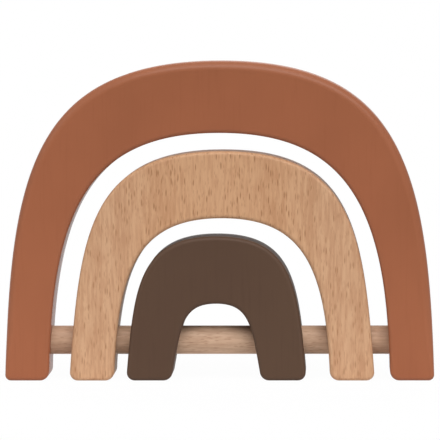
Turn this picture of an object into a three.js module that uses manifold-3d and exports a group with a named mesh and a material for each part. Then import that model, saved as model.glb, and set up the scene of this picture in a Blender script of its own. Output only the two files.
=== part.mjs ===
// Rainbow teether: three wooden arches, one inside the other, on a single cross dowel.
// Millimetres. +X runs along the dowel, the front faces -Y, +Z is up and the feet stand on Z = 0.
import * as THREE from 'three';
import { mergeVertices } from 'three/addons/utils/BufferGeometryUtils.js';
import Module from 'manifold-3d';

// Opening under the inner arch: its width at the floor and its height at the crown
const openingWidth = 25.2;
const openingHeight = 21.5;

// Wood of each arch: width of a leg at the floor and thickness of the crown
const innerLegWidth = 12.6;
const innerCrownThickness = 18.8;
const middleLegWidth = 12.5;
const middleCrownThickness = 18.7;
const outerLegWidth = 12.3;
const outerCrownThickness = 20;

// Open space between one arch and the next when both are centred
const legGap = 5;
const crownGap = 5.1;

// Lean of each leg face where it meets the floor, in degrees, outward going down
const openingLean = 10;
const innerLean = 4.7;
const middleOpeningLean = 2.4;
const middleLean = 4;
const outerOpeningLean = 1.2;
const outerLean = 1.4;

// How far each curve holds its crown direction and its leg direction, as shares of its half width
// and of its height: 0.55 gives a plain ellipse, more gives squarer shoulders
const openingCrownFullness = 0.742;
const openingLegFullness = 0.71;
const outsideCrownFullness = 0.84;
const outsideLegFullness = 0.677;

// Board: its depth, the same for every arch
const boardDepth = 18;

// Roundover along the edges, and how much rounder the toes and heels of the feet are in the outline
const outerEdgeRound = 1.6;
const outerToeExtra = 0.1;
const outerHeelExtra = 1;
const looseEdgeRound = 1.1;
const looseToeExtra = 1.1;
const looseHeelExtra = 1.5;

// Dowel: glued into the outer legs, free in the others, ends just below the outer faces
const dowelDiameter = 8;
const dowelHeight = 10.8;
const dowelEndChamfer = 0.4;
const dowelEndRecess = 0.25;
const glueGap = 0.15;
const runningClearance = 0.35;

// How far the drill runs past each leg face
const drillOverrun = 5;

// Where the two loose arches stand along the dowel
const middleShift = 0.7;
const innerShift = -0.9;

// Fineness of the round shapes
const curveSteps = 24;
const cornerSteps = 4;
const roundSteps = 3;
const boreSides = 48;

const terracottaPaint = { color: 0xa06349, roughness: 0.55, metalness: 0 };
const bareBeech = { color: 0xc89b7a, roughness: 0.65, metalness: 0 };
const brownPaint = { color: 0x5d473c, roughness: 0.55, metalness: 0 };
const dowelBeech = { color: 0xbb957b, roughness: 0.65, metalness: 0 };

const outerEdge = edge(outerEdgeRound, outerToeExtra, outerHeelExtra);
const looseEdge = edge(looseEdgeRound, looseToeExtra, looseHeelExtra);

// The six curves, worked out from the opening outwards
const opening = openingCurve(openingWidth / 2, openingHeight, openingLean);
const innerOutside = outsideCurve(opening, innerLegWidth, innerCrownThickness, innerLean);
const middleOpening = openingAround(innerOutside, middleOpeningLean);
const middleOutside = outsideCurve(middleOpening, middleLegWidth, middleCrownThickness, middleLean);
const outerOpening = openingAround(middleOutside, outerOpeningLean);
const outerOutside = outsideCurve(outerOpening, outerLegWidth, outerCrownThickness, outerLean);

function edge(round, toeExtra, heelExtra) {
  return { round, toe: round + toeExtra, heel: round + heelExtra };
}

function openingCurve(halfWidth, height, leanDegrees) {
  return {
    halfWidth,
    height,
    lean: THREE.MathUtils.degToRad(leanDegrees),
    crownFullness: openingCrownFullness,
    legFullness: openingLegFullness,
  };
}

// Opening of an arch, clear of the smaller arch that stands in it
function openingAround(smaller, leanDegrees) {
  return openingCurve(smaller.halfWidth + legGap, smaller.height + crownGap, leanDegrees);
}

// Outside of an arch, one leg width and one crown thickness beyond its opening
function outsideCurve(inside, legWidth, crownThickness, leanDegrees) {
  return {
    halfWidth: inside.halfWidth + legWidth,
    height: inside.height + crownThickness,
    lean: THREE.MathUtils.degToRad(leanDegrees),
    crownFullness: outsideCrownFullness,
    legFullness: outsideLegFullness,
  };
}

// Distance from the middle plane to the straight face that a leg ends in, at height z
function legFace(curve, z) {
  return curve.halfWidth - Math.tan(curve.lean) * z;
}

// Right-hand side of a curve, from its crown down to height `end` on the leg
function sidePoints(curve, end) {
  const legPull = curve.legFullness * curve.height;
  const side = new THREE.CubicBezierCurve(
    new THREE.Vector2(0, curve.height),
    new THREE.Vector2(curve.crownFullness * curve.halfWidth, curve.height),
    new THREE.Vector2(legFace(curve, legPull), legPull),
    new THREE.Vector2(legFace(curve, end), end),
  );
  return side.getPoints(curveSteps);
}

// Round corner from a leg's face to the sole of its foot; `side` is 1 outside the leg and -1 inside
function footCorner(curve, radius, side) {
  const top = radius * (1 + side * Math.sin(curve.lean));
  const centreX = legFace(curve, top) - side * radius * Math.cos(curve.lean);
  const faceAngle = side > 0 ? curve.lean : curve.lean - Math.PI;
  const soleAngle = -Math.PI / 2;
  const arc = new THREE.EllipseCurve(centreX, radius, radius, radius, faceAngle, soleAngle, side > 0);
  return { top, points: arc.getPoints(cornerSteps) };
}

// Outline of an arch: down the right leg, across its foot, up inside it, and the mirror image back
function archShape(outside, inside, edges) {
  const toe = footCorner(outside, edges.toe, 1);
  const heel = footCorner(inside, edges.heel, -1);
  const right = [
    ...sidePoints(outside, toe.top),
    ...toe.points.slice(1),
    ...heel.points.reverse(),
    ...sidePoints(inside, heel.top).reverse().slice(1),
  ];
  const left = right.slice(1, -1).reverse().map((point) => new THREE.Vector2(-point.x, point.y));
  return new THREE.Shape([...right, ...left]);
}

// Board cut to the outline, standing upright, with all its edges rounded over
function archBoard(outside, inside, edges) {
  const geometry = new THREE.ExtrudeGeometry(archShape(outside, inside, edges), {
    depth: boardDepth - 2 * edges.round,
    bevelThickness: edges.round,
    bevelSize: edges.round,
    bevelOffset: -edges.round,
    bevelSegments: roundSteps,
  });
  geometry.translate(0, 0, edges.round - boardDepth / 2);
  geometry.rotateX(Math.PI / 2);
  return geometry;
}

const wasm = await Module();
wasm.setup();

// Closed solid with its shared corners merged
function solid(geometry) {
  const bare = geometry.clone();
  bare.deleteAttribute('normal');
  bare.deleteAttribute('uv');
  const merged = mergeVertices(bare);
  const vertProperties = new Float32Array(merged.attributes.position.array);
  const triVerts = new Uint32Array(merged.index.array);
  return new wasm.Manifold(new wasm.Mesh({ numProp: 3, vertProperties, triVerts }));
}

// Board with the dowel hole drilled across both legs
function drilled(board, outside, clearance) {
  const radius = dowelDiameter / 2 + clearance;
  const drillLength = 2 * (outside.halfWidth + drillOverrun);
  const drill = new THREE.CylinderGeometry(radius, radius, drillLength, boreSides);
  drill.rotateZ(Math.PI / 2);
  drill.translate(0, 0, dowelHeight);
  const { vertProperties, triVerts } = solid(board).subtract(solid(drill)).getMesh();
  const geometry = new THREE.BufferGeometry();
  geometry.setAttribute('position', new THREE.BufferAttribute(vertProperties, 3));
  geometry.setIndex(new THREE.BufferAttribute(triVerts, 1));
  geometry.computeVertexNormals();
  return geometry;
}

function arch(name, outside, inside, edges, clearance, finish) {
  const geometry = drilled(archBoard(outside, inside, edges), outside, clearance);
  const mesh = new THREE.Mesh(geometry, new THREE.MeshStandardMaterial(finish));
  mesh.name = name;
  return mesh;
}

// Rod along X whose ends stop just short of the outer faces at the top of their holes
function dowel() {
  const radius = dowelDiameter / 2;
  const halfLength = legFace(outerOutside, dowelHeight + radius) - dowelEndRecess;
  const profile = [
    new THREE.Vector2(0, -halfLength),
    new THREE.Vector2(radius - dowelEndChamfer, -halfLength),
    new THREE.Vector2(radius, -halfLength + dowelEndChamfer),
    new THREE.Vector2(radius, halfLength - dowelEndChamfer),
    new THREE.Vector2(radius - dowelEndChamfer, halfLength),
    new THREE.Vector2(0, halfLength),
  ];
  const geometry = new THREE.LatheGeometry(profile, boreSides);
  geometry.rotateZ(Math.PI / 2);
  const mesh = new THREE.Mesh(geometry, new THREE.MeshStandardMaterial(dowelBeech));
  mesh.name = 'dowel';
  mesh.position.z = dowelHeight;
  return mesh;
}

const outerArch = arch('outer_arch', outerOutside, outerOpening, outerEdge, glueGap, terracottaPaint);
const middleArch = arch('middle_arch', middleOutside, middleOpening, looseEdge, runningClearance, bareBeech);
const innerArch = arch('inner_arch', innerOutside, opening, looseEdge, runningClearance, brownPaint);
middleArch.position.x = middleShift;
innerArch.position.x = innerShift;

const rainbowTeether = new THREE.Group();
rainbowTeether.add(outerArch, middleArch, innerArch, dowel());

export default rainbowTeether;
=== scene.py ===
import math

import bmesh
import bpy
from mathutils import Matrix, Vector


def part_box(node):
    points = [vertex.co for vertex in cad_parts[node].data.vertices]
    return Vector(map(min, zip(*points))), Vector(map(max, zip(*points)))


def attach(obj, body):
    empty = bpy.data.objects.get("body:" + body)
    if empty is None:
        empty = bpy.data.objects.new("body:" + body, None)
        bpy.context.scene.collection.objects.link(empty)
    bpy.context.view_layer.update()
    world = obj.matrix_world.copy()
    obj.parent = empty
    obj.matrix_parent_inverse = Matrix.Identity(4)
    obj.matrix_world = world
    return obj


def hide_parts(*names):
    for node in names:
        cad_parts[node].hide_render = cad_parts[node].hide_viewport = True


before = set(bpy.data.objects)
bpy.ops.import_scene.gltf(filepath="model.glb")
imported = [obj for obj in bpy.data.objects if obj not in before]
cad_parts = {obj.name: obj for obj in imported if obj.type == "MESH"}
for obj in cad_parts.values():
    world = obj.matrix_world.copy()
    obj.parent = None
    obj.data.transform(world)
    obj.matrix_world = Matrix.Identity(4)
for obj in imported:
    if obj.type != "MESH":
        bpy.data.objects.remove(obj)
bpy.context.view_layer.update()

mm = 0.001  # sizes below are in millimetres, the scene is in metres
print("frame loaded:", ", ".join(sorted(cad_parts)))


# node wiring: sums written on a Wire become Math nodes

nodeSpacing = 180  # in the node editor


class Wire:
    def __init__(self, bench, node, key=0):
        self.bench = bench
        self.node = node
        self.socket = node.outputs[key]

    def out(self, key):  # another output of the same node
        return Wire(self.bench, self.node, key)

    def maths(self, operation, second=0.0):
        return self.bench.maths(operation, self, second)

    def __add__(self, other):
        return self.maths("ADD", other)

    def __radd__(self, other):
        return self.bench.maths("ADD", other, self)

    def __sub__(self, other):
        return self.maths("SUBTRACT", other)

    def __rsub__(self, other):
        return self.bench.maths("SUBTRACT", other, self)

    def __mul__(self, other):
        return self.maths("MULTIPLY", other)

    def __rmul__(self, other):
        return self.bench.maths("MULTIPLY", other, self)

    def __truediv__(self, other):
        return self.maths("DIVIDE", other)

    def __lt__(self, other):
        return self.maths("LESS_THAN", other)

    def __gt__(self, other):
        return self.maths("GREATER_THAN", other)


class Bench:
    def __init__(self, tree):
        self.tree = tree

    def add(self, kind, settings=None, sockets=None):
        node = self.tree.nodes.new(kind)
        node.location = (nodeSpacing * len(self.tree.nodes), 0)
        for name, value in (settings or {}).items():
            setattr(node, name, value)
        for key, value in (sockets or {}).items():
            self.feed(node.inputs[key], value)
        return Wire(self, node) if node.outputs else node

    def feed(self, socket, value):
        if isinstance(value, list):  # several wires into one socket
            for each in value:
                self.feed(socket, each)
        elif isinstance(value, Wire):
            self.tree.links.new(value.socket, socket)
        else:
            socket.default_value = value

    def maths(self, operation, first, second):
        return self.add("ShaderNodeMath", {"operation": operation}, {0: first, 1: second})

    def point(self, x, y, z=0.0):
        return self.add("ShaderNodeCombineXYZ", {}, {"X": x, "Y": y, "Z": z})

    def vector(self, operation, first, second=(0, 0, 0)):
        return self.add("ShaderNodeVectorMath", {"operation": operation}, {0: first, 1: second})

    def tint(self, amount, first, second, way="MIX"):  # sockets 6 and 7 of a Mix node are its colours
        settings = {"data_type": "RGBA", "blend_type": way}
        return self.add("ShaderNodeMix", settings, {0: amount, 6: first, 7: second}).out(2)

    def ease(self, value, low, high, atLow=0.0, atHigh=1.0):  # smooth step between two values
        sockets = {"Value": value, "From Min": low, "From Max": high, "To Min": atLow, "To Max": atHigh}
        return self.add("ShaderNodeMapRange", {"interpolation_type": "SMOOTHSTEP"}, sockets)


def rgb(red, green, blue):  # a colour as the eye names it, 0 to 255, to linear light
    def linear(level):
        level = level / 255
        return level / 12.92 if level <= 0.04045 else ((level + 0.055) / 1.055) ** 2.4
    return (linear(red), linear(green), linear(blue), 1.0)


# finishes

def newMaterial(name):
    material = bpy.data.materials.new(name)
    material.use_nodes = True
    material.node_tree.nodes.clear()
    return material, Bench(material.node_tree)


coatIor = 1.15  # thin: it shows on faces that are seen at a low angle


def finishMaterial(bench, colour, roughness, height, look):
    bump = bench.add("ShaderNodeBump", {}, {
        "Strength": look["bumpStrength"], "Distance": look["bumpDepth"], "Height": height})
    shader = bench.add("ShaderNodeBsdfPrincipled", {}, {
        "Base Color": colour,
        "Roughness": roughness,
        "Normal": bump,
        "Specular IOR Level": look["gloss"],
        "Coat Weight": look["coat"],
        "Coat Roughness": look["coatRoughness"],
        "Coat IOR": coatIor})
    bench.add("ShaderNodeOutputMaterial", {}, {"Surface": shader})


# noise patterns: cells to the metre along X, Y and Z, layers of detail, and how rough those are
cloudNoise = {"cells": (45, 45, 30), "detail": 3.0, "rough": 0.5}
grainNoise = {"cells": (1100, 1100, 55), "detail": 3.0, "rough": 0.6}
sprayNoise = {"cells": (2600, 2600, 2600), "detail": 1.0, "rough": 0.5}
swayNoise = {"cells": (60, 60, 25), "detail": 2.0, "rough": 0.5}
streakNoise = {"cells": (1450, 1450, 165), "detail": 3.0, "rough": 0.6}
bandNoise = {"cells": (150, 150, 14), "detail": 2.0, "rough": 0.5}
noiseMiddle = 0.5


def noise(bench, place, pattern):
    scaled = bench.vector("MULTIPLY", place, pattern["cells"])
    return bench.add("ShaderNodeTexNoise", {}, {
        "Vector": scaled, "Scale": 1.0, "Detail": pattern["detail"], "Roughness": pattern["rough"]})


# satin paint over wood: even colour, faint clouding, the grain just felt through it
paint = {
    "cloudFrom": 0.3,  # noise levels where a change starts
    "cloudTo": 0.7,  # and is complete
    "grainFrom": 0.5,
    "grainTo": 0.75,
    "cloudRoughness": 0.10,
    "edgePolish": 0.05,
    "grainRelief": 0.6,
    "sprayRelief": 0.4,
}


def paintFinish(name, look):
    material, bench = newMaterial(name)
    place = bench.add("ShaderNodeTexCoord").out("Object")
    cloud = noise(bench, place, cloudNoise)
    grain = noise(bench, place, grainNoise)
    spray = noise(bench, place, sprayNoise)
    edge = bench.add("ShaderNodeAttribute", {"attribute_name": "edge"}).out("Fac")
    clouding = bench.ease(cloud, paint["cloudFrom"], paint["cloudTo"])
    body = bench.tint(clouding, look["low"], look["high"])
    graining = bench.ease(grain, paint["grainFrom"], paint["grainTo"], 0, look["grainShow"])
    grained = bench.tint(graining, body, look["grain"])
    # rounded edges made lighter: thinner paint there, and partly a painted highlight
    colour = bench.tint(edge * look["edgeShow"], grained, look["edge"])
    patchy = paint["cloudRoughness"] * (cloud - noiseMiddle)
    roughness = look["roughness"] + patchy - paint["edgePolish"] * edge
    height = paint["grainRelief"] * grain + paint["sprayRelief"] * spray
    finishMaterial(bench, colour, roughness, height, look)
    return material


# bare beech: soft streaks along the grain, growth rings and short dark ray flecks
beech = {
    "streakTone": 0.78,  # shares of the patterns in the tone
    "bandTone": 0.13,
    "ringTone": 0.09,
    "toneFrom": 0.34,  # tone of the dark colour
    "toneTo": 0.66,  # and of the light one
    "ringWander": 5.0,  # how far the bands push the rings about
    "heartHalf": 14 * mm,  # the middle of a wide board is warmer and has more flecks
    "heartTint": rgb(255, 251, 245),
    "sapFrom": 32 * mm,
    "sapFlecks": 0.75,
    "fleckFade": 0.3,  # how gently flecks are left out
    "streakRoughness": 0.12,
    "fleckRoughness": 0.06,
    "streakRelief": 0.5,
    "fleckRelief": 0.5,
}


def beechFinish(name, look):
    material, bench = newMaterial(name)
    coords = bench.add("ShaderNodeTexCoord").out("Object")
    place = bench.add("ShaderNodeMapping", {}, {  # the grain runs along Z after this
        "Vector": coords, "Location": look["offset"], "Rotation": look["turn"]})
    sway = noise(bench, place, swayNoise)
    swayed = bench.vector("ADD", place, bench.point((sway - noiseMiddle) * look["sway"], 0.0))
    streak = noise(bench, swayed, streakNoise)
    band = noise(bench, swayed, bandNoise)
    flat = bench.vector("MULTIPLY", swayed, (1, 1, 0))
    fromPith = bench.vector("DISTANCE", flat, look["pith"]).out("Value")
    ringPhase = fromPith * (2 * math.pi / look["ringWidth"]) + beech["ringWander"] * band
    ring = 0.5 + 0.5 * ringPhase.maths("SINE")  # 0 to 1
    aside = bench.add("ShaderNodeSeparateXYZ", {}, {0: place}) - look["boardMiddle"]
    heart = bench.ease(aside.maths("ABSOLUTE"), beech["heartHalf"], beech["sapFrom"], 1.0, 0.0)
    marks = flecksOf(bench, swayed, look["fleck"]) + flecksOf(bench, swayed, look["fineFleck"])
    flecks = marks * (beech["sapFlecks"] + (1 - beech["sapFlecks"]) * heart)
    tone = beech["streakTone"] * streak + beech["bandTone"] * band + beech["ringTone"] * ring
    plain = bench.tint(bench.ease(tone, beech["toneFrom"], beech["toneTo"]), look["dark"], look["light"])
    wood = bench.tint(heart * look["heartShow"], plain, beech["heartTint"], "MULTIPLY")
    colour = bench.tint(flecks.maths("MINIMUM", 1.0), wood, look["fleckColour"])
    streaky = beech["streakRoughness"] * (streak - noiseMiddle)
    roughness = look["roughness"] + streaky + beech["fleckRoughness"] * flecks
    height = beech["streakRelief"] * streak - beech["fleckRelief"] * flecks
    finishMaterial(bench, colour, roughness, height, look)
    return material


# spindle shaped marks, one in each stretched cell, some left out
def flecksOf(bench, place, look):
    across, along = look["across"] * mm, look["along"] * mm
    scaled = bench.vector("MULTIPLY", place, (1 / across, 1 / across, 1 / along))
    cell = bench.add("ShaderNodeTexVoronoi", {"feature": "F1"}, {"Vector": scaled, "Scale": 1.0})
    lot = bench.add("ShaderNodeSeparateColor", {}, {"Color": cell.out("Color")})
    mark = bench.ease(cell.out("Distance"), look["core"], look["rim"], 1, 0)
    kept = bench.ease(lot, look["leaveOut"], look["leaveOut"] + beech["fleckFade"], 0, look["show"])
    return mark * kept


terracottaLook = {
    "low": rgb(152, 91, 62),
    "high": rgb(158, 95, 65),
    "grain": rgb(145, 85, 57),
    "grainShow": 0.30,
    # edge: lighter colour on the rounded edges, thinner paint and partly a painted highlight
    "edge": rgb(171, 109, 80),
    "edgeShow": 0.15,
    "roughness": 0.48,
    "gloss": 0.16,
    "coat": 0.4,
    "coatRoughness": 0.2,
    "bumpDepth": 0.05 * mm,
    "bumpStrength": 0.25,
}
brownLook = {
    "low": rgb(85, 64, 51),
    "high": rgb(88, 67, 53),
    "grain": rgb(78, 58, 46),
    "grainShow": 0.30,
    # edge: lighter colour on the rounded edges, thinner paint and partly a painted highlight
    "edge": rgb(103, 82, 70),
    "edgeShow": 0.15,
    "roughness": 0.58,
    "gloss": 0.12,
    "coat": 0.05,
    "coatRoughness": 0.2,
    "bumpDepth": 0.05 * mm,
    "bumpStrength": 0.25,
}
# flecks: size of a cell in millimetres, and shares of it
coarseFleck = {"across": 0.65, "along": 3.4, "core": 0.14, "rim": 0.41, "leaveOut": 0.42, "show": 0.85}
fineFleck = {"across": 0.42, "along": 2.2, "core": 0.10, "rim": 0.40, "leaveOut": 0.30, "show": 0.5}
dowelFleck = {"across": 0.5, "along": 5.0, "core": 0.10, "rim": 0.40, "leaveOut": 0.50, "show": 0.45}
archBeechLook = {
    "offset": (0.013, 0.004, 0.0),
    "boardMiddle": 13.7 * mm,
    "turn": (0.0, 0.0, 0.0),
    "pith": (0.012, 0.075, 0.0),
    "ringWidth": 2.6 * mm,
    "sway": 1.6 * mm,
    "dark": rgb(187, 142, 108),
    "light": rgb(204, 162, 127),
    "heartShow": 1.0,
    "fleck": coarseFleck,
    "fineFleck": fineFleck,
    "fleckColour": rgb(157, 112, 77),
    "roughness": 0.52,
    "gloss": 0.25,
    "coat": 0.12,
    "coatRoughness": 0.2,
    "bumpDepth": 0.08 * mm,
    "bumpStrength": 0.35,
}
dowelBeechLook = {
    "offset": (0.0, 0.002, 0.02),
    "boardMiddle": 0.0,
    "turn": (0.0, math.pi / 2, 0.0),  # grain along the rod
    "pith": (0.010, 0.006, 0.0),
    "ringWidth": 1.5 * mm,
    "sway": 0.8 * mm,
    "dark": rgb(189, 154, 128),
    "light": rgb(208, 175, 148),
    "heartShow": 0.0,
    "fleck": dowelFleck,
    "fineFleck": fineFleck,
    "fleckColour": rgb(153, 108, 80),
    "roughness": 0.60,
    "gloss": 0.2,
    "coat": 0.2,
    "coatRoughness": 0.2,
    "bumpDepth": 0.08 * mm,
    "bumpStrength": 0.35,
}
terracottaPaint = paintFinish("terracottaPaint", terracottaLook)
brownPaint = paintFinish("brownPaint", brownLook)
archBeech = beechFinish("archBeech", archBeechLook)
dowelBeech = beechFinish("dowelBeech", dowelBeechLook)
print("finishes mixed")


# arches: one Geometry Nodes tree cuts every board from its two curves

board = {
    "depth": 18.0,
    "roundFull": 14.0,  # height on the legs where the outside roundover has its full size
    "outsideCrownPull": 0.84,  # how far a curve holds its crown direction
    "outsideLegPull": 0.677,  # and its leg direction
    "openingCrownPull": 0.742,
    "openingLegPull": 0.71,
    "boreHeight": 10.8,
}
outerArch = {
    "outsideHalfWidth": 60.0,
    "outsideHeight": 89.2,
    "outsideLean": math.radians(1.4),
    "openingHalfWidth": 47.7,
    "openingHeight": 69.2,
    "openingLean": math.radians(1.2),
    "outsideRound": 2.4,  # softer outside than in the opening
    "openingRound": 1.1,
    "toeRadius": 1.6,  # outside corner of a foot
    "heelRadius": 2.6,  # inside corner of a foot
    "boreRadius": 4.15,
    "shift": 0.0,
}
middleArch = {
    "outsideHalfWidth": 42.7,
    "outsideHeight": 64.1,
    "outsideLean": math.radians(4.0),
    "openingHalfWidth": 30.2,
    "openingHeight": 45.4,
    "openingLean": math.radians(2.4),
    "outsideRound": 1.1,
    "openingRound": 1.1,
    "toeRadius": 2.2,
    "heelRadius": 2.6,
    "boreRadius": 4.35,
    "shift": 0.7,
}
innerArch = {
    "outsideHalfWidth": 25.2,
    "outsideHeight": 40.3,
    "outsideLean": math.radians(4.7),
    "openingHalfWidth": 12.6,
    "openingHeight": 21.5,
    "openingLean": math.radians(10.0),
    "outsideRound": 1.1,
    "openingRound": 1.1,
    "toeRadius": 2.2,
    "heelRadius": 2.6,
    "boreRadius": 4.35,
    "shift": -0.9,
}
fineness = {"bowSteps": 56, "cornerPoints": 9, "roundPoints": 9, "boreSides": 96}
flatBand = 0.25 * mm  # strip of the flat face that is drawn with the rounded edge
weld = 0.001 * mm
openEdge = 1.5  # an edge with fewer faces than this is open
drillReach = 3  # length of the drill in half widths of the arch
creaseAngle = math.radians(35)


# one open or closed line out of several that meet end to end
def oneLine(bench, lines):
    joined = bench.add("GeometryNodeJoinGeometry", {}, {0: lines})
    edges = bench.add("GeometryNodeCurveToMesh", {}, {"Curve": joined})
    welded = bench.add("GeometryNodeMergeByDistance", {}, {"Geometry": edges, "Distance": weld})
    return bench.add("GeometryNodeMeshToCurve", {}, {"Mesh": welded})


def moved(bench, shape, place=(0, 0, 0), turn=(0, 0, 0), scale=(1, 1, 1)):
    return bench.add("GeometryNodeTransform", {}, {
        "Geometry": shape, "Translation": place, "Rotation": turn, "Scale": scale})


def line(bench, start, end):
    return bench.add("GeometryNodeCurvePrimitiveLine", {}, {"Start": start, "End": end})


def noted(bench, shape, name, value, kind="FLOAT"):  # a value kept on the points of a shape
    return bench.add("GeometryNodeStoreNamedAttribute", {"data_type": kind}, {
        "Geometry": shape, "Name": name, "Value": value})


def recalled(bench, name, kind="FLOAT"):
    return bench.add("GeometryNodeInputNamedAttribute", {"data_type": kind}, {"Name": name})


def spot(bench):
    return bench.add("ShaderNodeSeparateXYZ", {}, {0: bench.add("GeometryNodeInputPosition")})


# right half of a curve with the corner of its foot; way is 1 outside the leg and -1 in the opening
def curveSide(bench, halfWidth, height, lean, crownPull, legPull, radius, way):
    slope = lean.maths("TANGENT")
    pull = legPull * height
    top = radius * (1 + way * lean.maths("SINE"))  # where the corner begins
    faceX = halfWidth - slope * top
    bow = bench.add("GeometryNodeCurvePrimitiveBezierSegment", {"mode": "POSITION"}, {
        "Resolution": fineness["bowSteps"],
        "Start": bench.point(0.0, height),
        "Start Handle": bench.point(crownPull * halfWidth, height),
        "End Handle": bench.point(halfWidth - slope * pull, pull),
        "End": bench.point(faceX, top)})
    centreX = faceX - way * radius * lean.maths("COSINE")
    corner = bench.add("GeometryNodeCurveArc", {"mode": "RADIUS"}, {
        "Resolution": fineness["cornerPoints"],
        "Radius": radius,
        "Start Angle": -math.pi / 2 if way > 0 else lean - math.pi,
        "Sweep Angle": math.pi / 2 + way * lean})
    return bow, moved(bench, corner, bench.point(centreX, radius)), bench.point(centreX, 0.0)


def archTree():
    tree = bpy.data.node_groups.new("archBoard", "GeometryNodeTree")
    for name in [*board, *outerArch]:
        tree.interface.new_socket(name=name, in_out="INPUT", socket_type="NodeSocketFloat")
    tree.interface.new_socket(name="finish", in_out="INPUT", socket_type="NodeSocketMaterial")
    tree.interface.new_socket(name="board", in_out="OUTPUT", socket_type="NodeSocketGeometry")
    bench = Bench(tree)
    size = bench.add("NodeGroupInput").out
    outBow, toe, toeFoot = curveSide(
        bench, size("outsideHalfWidth"), size("outsideHeight"), size("outsideLean"),
        size("outsideCrownPull"), size("outsideLegPull"), size("toeRadius"), 1)
    inBow, heel, heelFoot = curveSide(
        bench, size("openingHalfWidth"), size("openingHeight"), size("openingLean"),
        size("openingCrownPull"), size("openingLegPull"), size("heelRadius"), -1)
    outside = noted(bench, outBow, "workOutside", 1.0)
    sole = line(bench, toeFoot, heelFoot)
    right = bench.add("GeometryNodeJoinGeometry", {}, {0: [outside, toe, sole, heel, inBow]})
    outline = oneLine(bench, [right, moved(bench, right, scale=(-1, 1, 1))])
    upright = bench.add("GeometryNodeSetCurveNormal", {"mode": "Z_UP"}, {"Curve": outline})

    # how much softer the edge is at each point, more up the outside of the legs
    softer = size("outsideRound") - size("openingRound")
    risen = bench.ease(spot(bench).out("Y"), size("toeRadius"), size("roundFull"))
    softened = noted(bench, upright, "workSofter", recalled(bench, "workOutside") * risen * softer)
    inward = bench.add("GeometryNodeInputNormal")
    inwardKept = noted(bench, softened, "workInward", inward, "FLOAT_VECTOR")

    # section of the edge: rounded at front and back, X into the wood, Y through the depth
    halfDepth = 0.5 * size("depth")
    edgeRound = size("openingRound")
    quarter = bench.add("GeometryNodeCurveArc", {"mode": "RADIUS"}, {
        "Resolution": fineness["roundPoints"],
        "Radius": edgeRound,
        "Start Angle": math.pi / 2,
        "Sweep Angle": math.pi / 2})
    sideTop = halfDepth - edgeRound
    front = bench.add("GeometryNodeJoinGeometry", {}, {0: [
        line(bench, bench.point(edgeRound + flatBand, halfDepth), bench.point(edgeRound, halfDepth)),
        moved(bench, quarter, bench.point(edgeRound, sideTop)),
        line(bench, bench.point(0.0, sideTop), bench.point(0.0, 0.0))]})
    section = oneLine(bench, [front, moved(bench, front, scale=(1, -1, 1))])
    inset = spot(bench) / edgeRound
    bulge = 4 * inset * (1 - inset)  # 1 half way round the edge, 0 where it ends
    # the edge share lightens the paint on the roundover: thinner paint, and partly a painted highlight
    marked = noted(bench, section, "edge", bulge.maths("MAXIMUM", 0.0))
    through = spot(bench).out("Y")
    sunk = noted(bench, marked, "workInset", inset.maths("MINIMUM", 1.0))
    fall = (halfDepth - through.maths("ABSOLUTE")) / edgeRound
    fallBothWays = through.maths("SIGN") * fall.maths("MINIMUM", 1.0)
    profile = noted(bench, sunk, "workFall", fallBothWays)
    swept = bench.add("GeometryNodeCurveToMesh", {}, {"Curve": inwardKept, "Profile Curve": profile})
    more = recalled(bench, "workSofter")
    setIn = bench.add("ShaderNodeVectorMath", {"operation": "SCALE"}, {
        0: recalled(bench, "workInward", "FLOAT_VECTOR"), "Scale": more * recalled(bench, "workInset")})
    setBack = bench.point(0.0, 0.0, more * recalled(bench, "workFall"))  # the section's Y runs against Z
    rounded = bench.add("GeometryNodeSetPosition", {}, {
        "Geometry": swept, "Offset": bench.vector("ADD", setIn, setBack)})
    clean = bench.add("GeometryNodeRemoveAttribute", {"pattern_mode": "WILDCARD"}, {
        "Geometry": rounded, "Name": "work*"})
    rim = bench.add("GeometryNodeFlipFaces", {}, {"Mesh": clean})  # faces outward

    # flat faces close the two open loops of the rim
    faces = bench.add("GeometryNodeInputMeshEdgeNeighbors")
    depthwise = spot(bench).out("Z")
    frontLoop = bench.add("GeometryNodeMeshToCurve", {}, {
        "Mesh": rim, "Selection": (faces < openEdge) * (depthwise > 0.0)})
    cap = bench.add("GeometryNodeFillCurve", {"mode": "NGONS"}, {"Curve": frontLoop})
    frontCap = moved(bench, cap, bench.point(0.0, 0.0, halfDepth))
    behind = moved(bench, cap, bench.point(0.0, 0.0, -1 * halfDepth))
    backCap = bench.add("GeometryNodeFlipFaces", {}, {"Mesh": behind})
    shell = bench.add("GeometryNodeJoinGeometry", {}, {0: [rim, frontCap, backCap]})
    closed = bench.add("GeometryNodeMergeByDistance", {}, {"Geometry": shell, "Distance": weld})

    drill = bench.add("GeometryNodeMeshCylinder", {}, {
        "Vertices": fineness["boreSides"],
        "Radius": size("boreRadius"),
        "Depth": drillReach * size("outsideHalfWidth")})
    across = moved(bench, drill, bench.point(0.0, size("boreHeight")), (0, math.pi / 2, 0))
    drilled = bench.add("GeometryNodeMeshBoolean", {"operation": "DIFFERENCE", "solver": "EXACT"}, {
        "Mesh 1": closed, "Mesh 2": across})
    soft = bench.add("GeometryNodeSetShadeSmooth", {"domain": "FACE"}, {"Geometry": drilled})
    creased = bench.add("GeometryNodeSetShadeSmooth", {"domain": "EDGE"}, {
        "Geometry": soft, "Shade Smooth": bench.add("GeometryNodeInputMeshEdgeAngle") < creaseAngle})
    stood = moved(bench, creased, bench.point(size("shift"), 0.0), (math.pi / 2, 0, 0))
    real = bench.add("GeometryNodeRealizeInstances", {}, {"Geometry": stood})
    done = bench.add("GeometryNodeSetMaterial", {}, {"Geometry": real, "Material": size("finish")})
    bench.add("NodeGroupOutput", {}, {0: done})
    return tree


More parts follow.
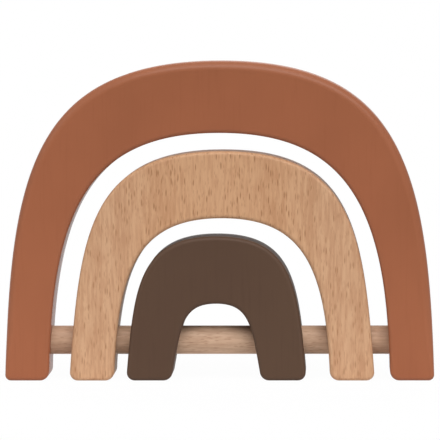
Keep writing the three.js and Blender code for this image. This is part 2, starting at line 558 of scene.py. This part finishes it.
def cutArch(name, tree, sizes, finish, node, body):
    piece = bpy.data.objects.new(name, bpy.data.meshes.new(name))
    bpy.context.scene.collection.objects.link(piece)
    cutter = piece.modifiers.new("cut", "NODES")
    cutter.node_group = tree
    sockets = [socket for socket in tree.interface.items_tree if socket.in_out == "INPUT"]
    inputs = {socket.name: socket.identifier for socket in sockets}
    for key, value in {**board, **sizes}.items():
        unit = 1 if key.endswith(("Lean", "Pull")) else mm
        cutter[inputs[key]] = value * unit
    cutter[inputs["finish"]] = finish
    shaped = piece.evaluated_get(bpy.context.evaluated_depsgraph_get())
    cut = bpy.data.meshes.new_from_object(shaped)
    piece.modifiers.remove(cutter)
    piece.data = cut
    cut.name = name
    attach(piece, body)
    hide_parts(node)
    print(name, "cut:", len(cut.vertices), "points")


boardTree = archTree()
cutArch("outerArch", boardTree, outerArch, terracottaPaint, "outer_arch", "outer_frame")
cutArch("middleArch", boardTree, middleArch, archBeech, "middle_arch", "middle_swing")
cutArch("innerArch", boardTree, innerArch, brownPaint, "inner_arch", "inner_swing")


# dowel: turned rod with softened ends

dowel = {
    "endRound": 0.4,
    "endRings": (0.35, 0.7),  # rings of the flat end, as shares of the radius
    "endSteps": 5,
    "bodyRings": 30,
    "sides": 96,
}


def turnDowel():
    low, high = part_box("dowel")
    centre, radius = (low + high) / 2, (high.z - low.z) / 2
    half, soft = (high.x - low.x) / 2, dowel["endRound"] * mm
    end = [(half, radius * share) for share in dowel["endRings"]]
    for step in range(dowel["endSteps"] + 1):
        angle = math.pi / 2 * step / dowel["endSteps"]
        end.append((half - soft * (1 - math.cos(angle)), radius - soft * (1 - math.sin(angle))))
    body = []
    for step in range(1, dowel["bodyRings"]):
        body.append(((half - soft) * (1 - 2 * step / dowel["bodyRings"]), radius))
    otherEnd = [(-x, ring) for x, ring in reversed(end)]
    mesh = bmesh.new()
    rings = []
    turns = [2 * math.pi * side / dowel["sides"] for side in range(dowel["sides"])]
    for x, ring in [*end, *body, *otherEnd]:
        circle = [Vector((x, ring * math.cos(turn), ring * math.sin(turn))) for turn in turns]
        rings.append([mesh.verts.new(centre + point) for point in circle])
    for one, two in zip(rings, rings[1:]):
        for side in range(dowel["sides"]):
            after = (side + 1) % dowel["sides"]
            mesh.faces.new((one[side], one[after], two[after], two[side]))
    mesh.faces.new(rings[0])
    mesh.faces.new(rings[-1])
    bmesh.ops.recalc_face_normals(mesh, faces=mesh.faces)
    for face in mesh.faces:
        face.smooth = True
    data = bpy.data.meshes.new("crossDowel")
    mesh.to_mesh(data)
    mesh.free()
    piece = bpy.data.objects.new("crossDowel", data)
    bpy.context.scene.collection.objects.link(piece)
    data.materials.append(dowelBeech)
    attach(piece, "outer_frame")
    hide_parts("dowel")
    print("dowel turned:", len(data.vertices), "points")


turnDowel()


# studio, in metres: pale floor, white behind, soft lamps

studio = {
    "floorSize": 0.36,
    "floorDrop": 0.02 * mm,
    "floorColour": (0.92, 0.92, 0.92, 1.0),
    "clearNear": 0.97,  # share of the white behind that shows through the floor by the toy
    "clearFrom": 0.05,  # distance from the middle where more starts to show
    "clearAll": 0.18,  # and where all of it does
    "cardDrop": 55 * mm,
    "white": (1.0, 1.0, 1.0, 1.0),
    "skyLight": 0.01,
    "seenSky": 1.0,
}
lamps = {
    "keySoftbox": {"place": (0.00, -2.60, 3.00), "size": (2.0, 1.6), "watts": 80.0},
    "rightSoftbox": {"place": (1.80, -2.30, 2.60), "size": (2.0, 1.6), "watts": 57.0},
    "leftSoftbox": {"place": (-2.60, -1.20, 1.80), "size": (1.4, 1.2), "watts": 18.0},
    "topSoftbox": {"place": (0.20, -0.80, 3.40), "size": (2.0, 1.6), "watts": 25.0},
    "backSoftbox": {"place": (-0.50, 2.80, 1.90), "size": (2.4, 1.6), "watts": 60.0},
}
aimPoint = Vector((0.0, 0.0, 0.045))


def seenStraight(bench):  # 1 for what the camera sees, also in gloss or glass
    path = bench.add("ShaderNodeLightPath")
    direct = path.out("Is Camera Ray") + path.out("Is Glossy Ray") + path.out("Is Transmission Ray")
    return direct.maths("MINIMUM", 1.0)


# matt floor that keeps the shadow; clear to the camera, to lamps and from below, so a turned arch shows
def floorFinish():
    material, bench = newMaterial("paleFloor")
    matt = bench.add("ShaderNodeBsdfDiffuse", {}, {"Color": studio["floorColour"]})
    clear = bench.add("ShaderNodeBsdfTransparent")
    away = bench.vector("LENGTH", bench.add("ShaderNodeTexCoord").out("Object")).out("Value")
    share = bench.ease(away, studio["clearFrom"], studio["clearAll"], studio["clearNear"], 1.0)
    lampRay = bench.add("ShaderNodeLightPath").out("Is Shadow Ray")
    fromBelow = bench.add("ShaderNodeNewGeometry").out("Backfacing")
    through = share * seenStraight(bench) + lampRay + fromBelow
    mixed = bench.add("ShaderNodeMixShader", {}, {0: through.maths("MINIMUM", 1.0), 1: matt, 2: clear})
    bench.add("ShaderNodeOutputMaterial", {}, {"Surface": mixed})
    return material


def layFloor():
    floorMesh = bpy.data.meshes.new("floor")
    reach = studio["floorSize"] / 2
    sides = ((-1, -1), (1, -1), (1, 1), (-1, 1))
    corners = [(x * reach, y * reach, -studio["floorDrop"]) for x, y in sides]
    floorMesh.from_pydata(corners, [], [(0, 1, 2, 3)])
    floorMesh.materials.append(floorFinish())
    floor = bpy.data.objects.new("floor", floorMesh)
    bpy.context.scene.collection.objects.link(floor)

    # unseen card further down: bounce for an arch that is turned below the floor
    card = bpy.data.objects.new("bounceCard", floorMesh)
    card.location.z = -studio["cardDrop"]
    card.visible_camera = card.visible_glossy = False
    card.visible_transmission = card.visible_shadow = False
    bpy.context.scene.collection.objects.link(card)


def paintSky():  # white to the camera, dim as a light
    world = bpy.data.worlds.new("studioWorld")
    world.use_nodes = True
    world.node_tree.nodes.clear()
    bench = Bench(world.node_tree)
    white = studio["white"]
    dim = bench.add("ShaderNodeBackground", {}, {"Color": white, "Strength": studio["skyLight"]})
    bright = bench.add("ShaderNodeBackground", {}, {"Color": white, "Strength": studio["seenSky"]})
    mixed = bench.add("ShaderNodeMixShader", {}, {0: seenStraight(bench), 1: dim, 2: bright})
    bench.add("ShaderNodeOutputWorld", {}, {"Surface": mixed})
    bpy.context.scene.world = world


def hangLamps():
    for name, lamp in lamps.items():
        light = bpy.data.lights.new(name, "AREA")
        light.shape = "RECTANGLE"
        light.size, light.size_y = lamp["size"]
        light.energy = lamp["watts"]
        holder = bpy.data.objects.new(name, light)
        holder.location = lamp["place"]
        holder.rotation_euler = (aimPoint - holder.location).to_track_quat("-Z", "Y").to_euler()
        holder.visible_camera = False
        holder.visible_glossy = holder.location.y < 0  # no glare from behind
        bpy.context.scene.collection.objects.link(holder)


layFloor()
paintSky()
hangLamps()
print("studio lit")


# camera: a long lens, a little to the right of the middle and a little above

shot = {
    "target": (0.047 * mm, 0.0, 44.506 * mm),
    "azimuth": math.radians(1.589),
    "elevation": math.radians(2.995),
    "roll": math.radians(-0.15),
    "distance": 1177.4 * mm,
    "lens": 343.05,
    "sensor": 36.0,
}


def setCamera():
    around, up = shot["azimuth"], shot["elevation"]
    level = math.cos(up)
    back = Vector((math.sin(around) * level, -math.cos(around) * level, math.sin(up)))
    right = Vector((math.cos(around), math.sin(around), 0.0))
    turn = Matrix((right, back.cross(right), back)).transposed() @ Matrix.Rotation(shot["roll"], 3, "Z")
    camera = bpy.data.cameras.new("photoCamera")
    camera.sensor_width = shot["sensor"]
    camera.lens = shot["lens"]
    holder = bpy.data.objects.new("photoCamera", camera)
    stand = Vector(shot["target"]) + back * shot["distance"]
    holder.matrix_world = Matrix.Translation(stand) @ turn.to_4x4()
    bpy.context.scene.collection.objects.link(holder)
    bpy.context.scene.camera = holder


setCamera()
bpy.context.scene.view_settings.view_transform = "Standard"
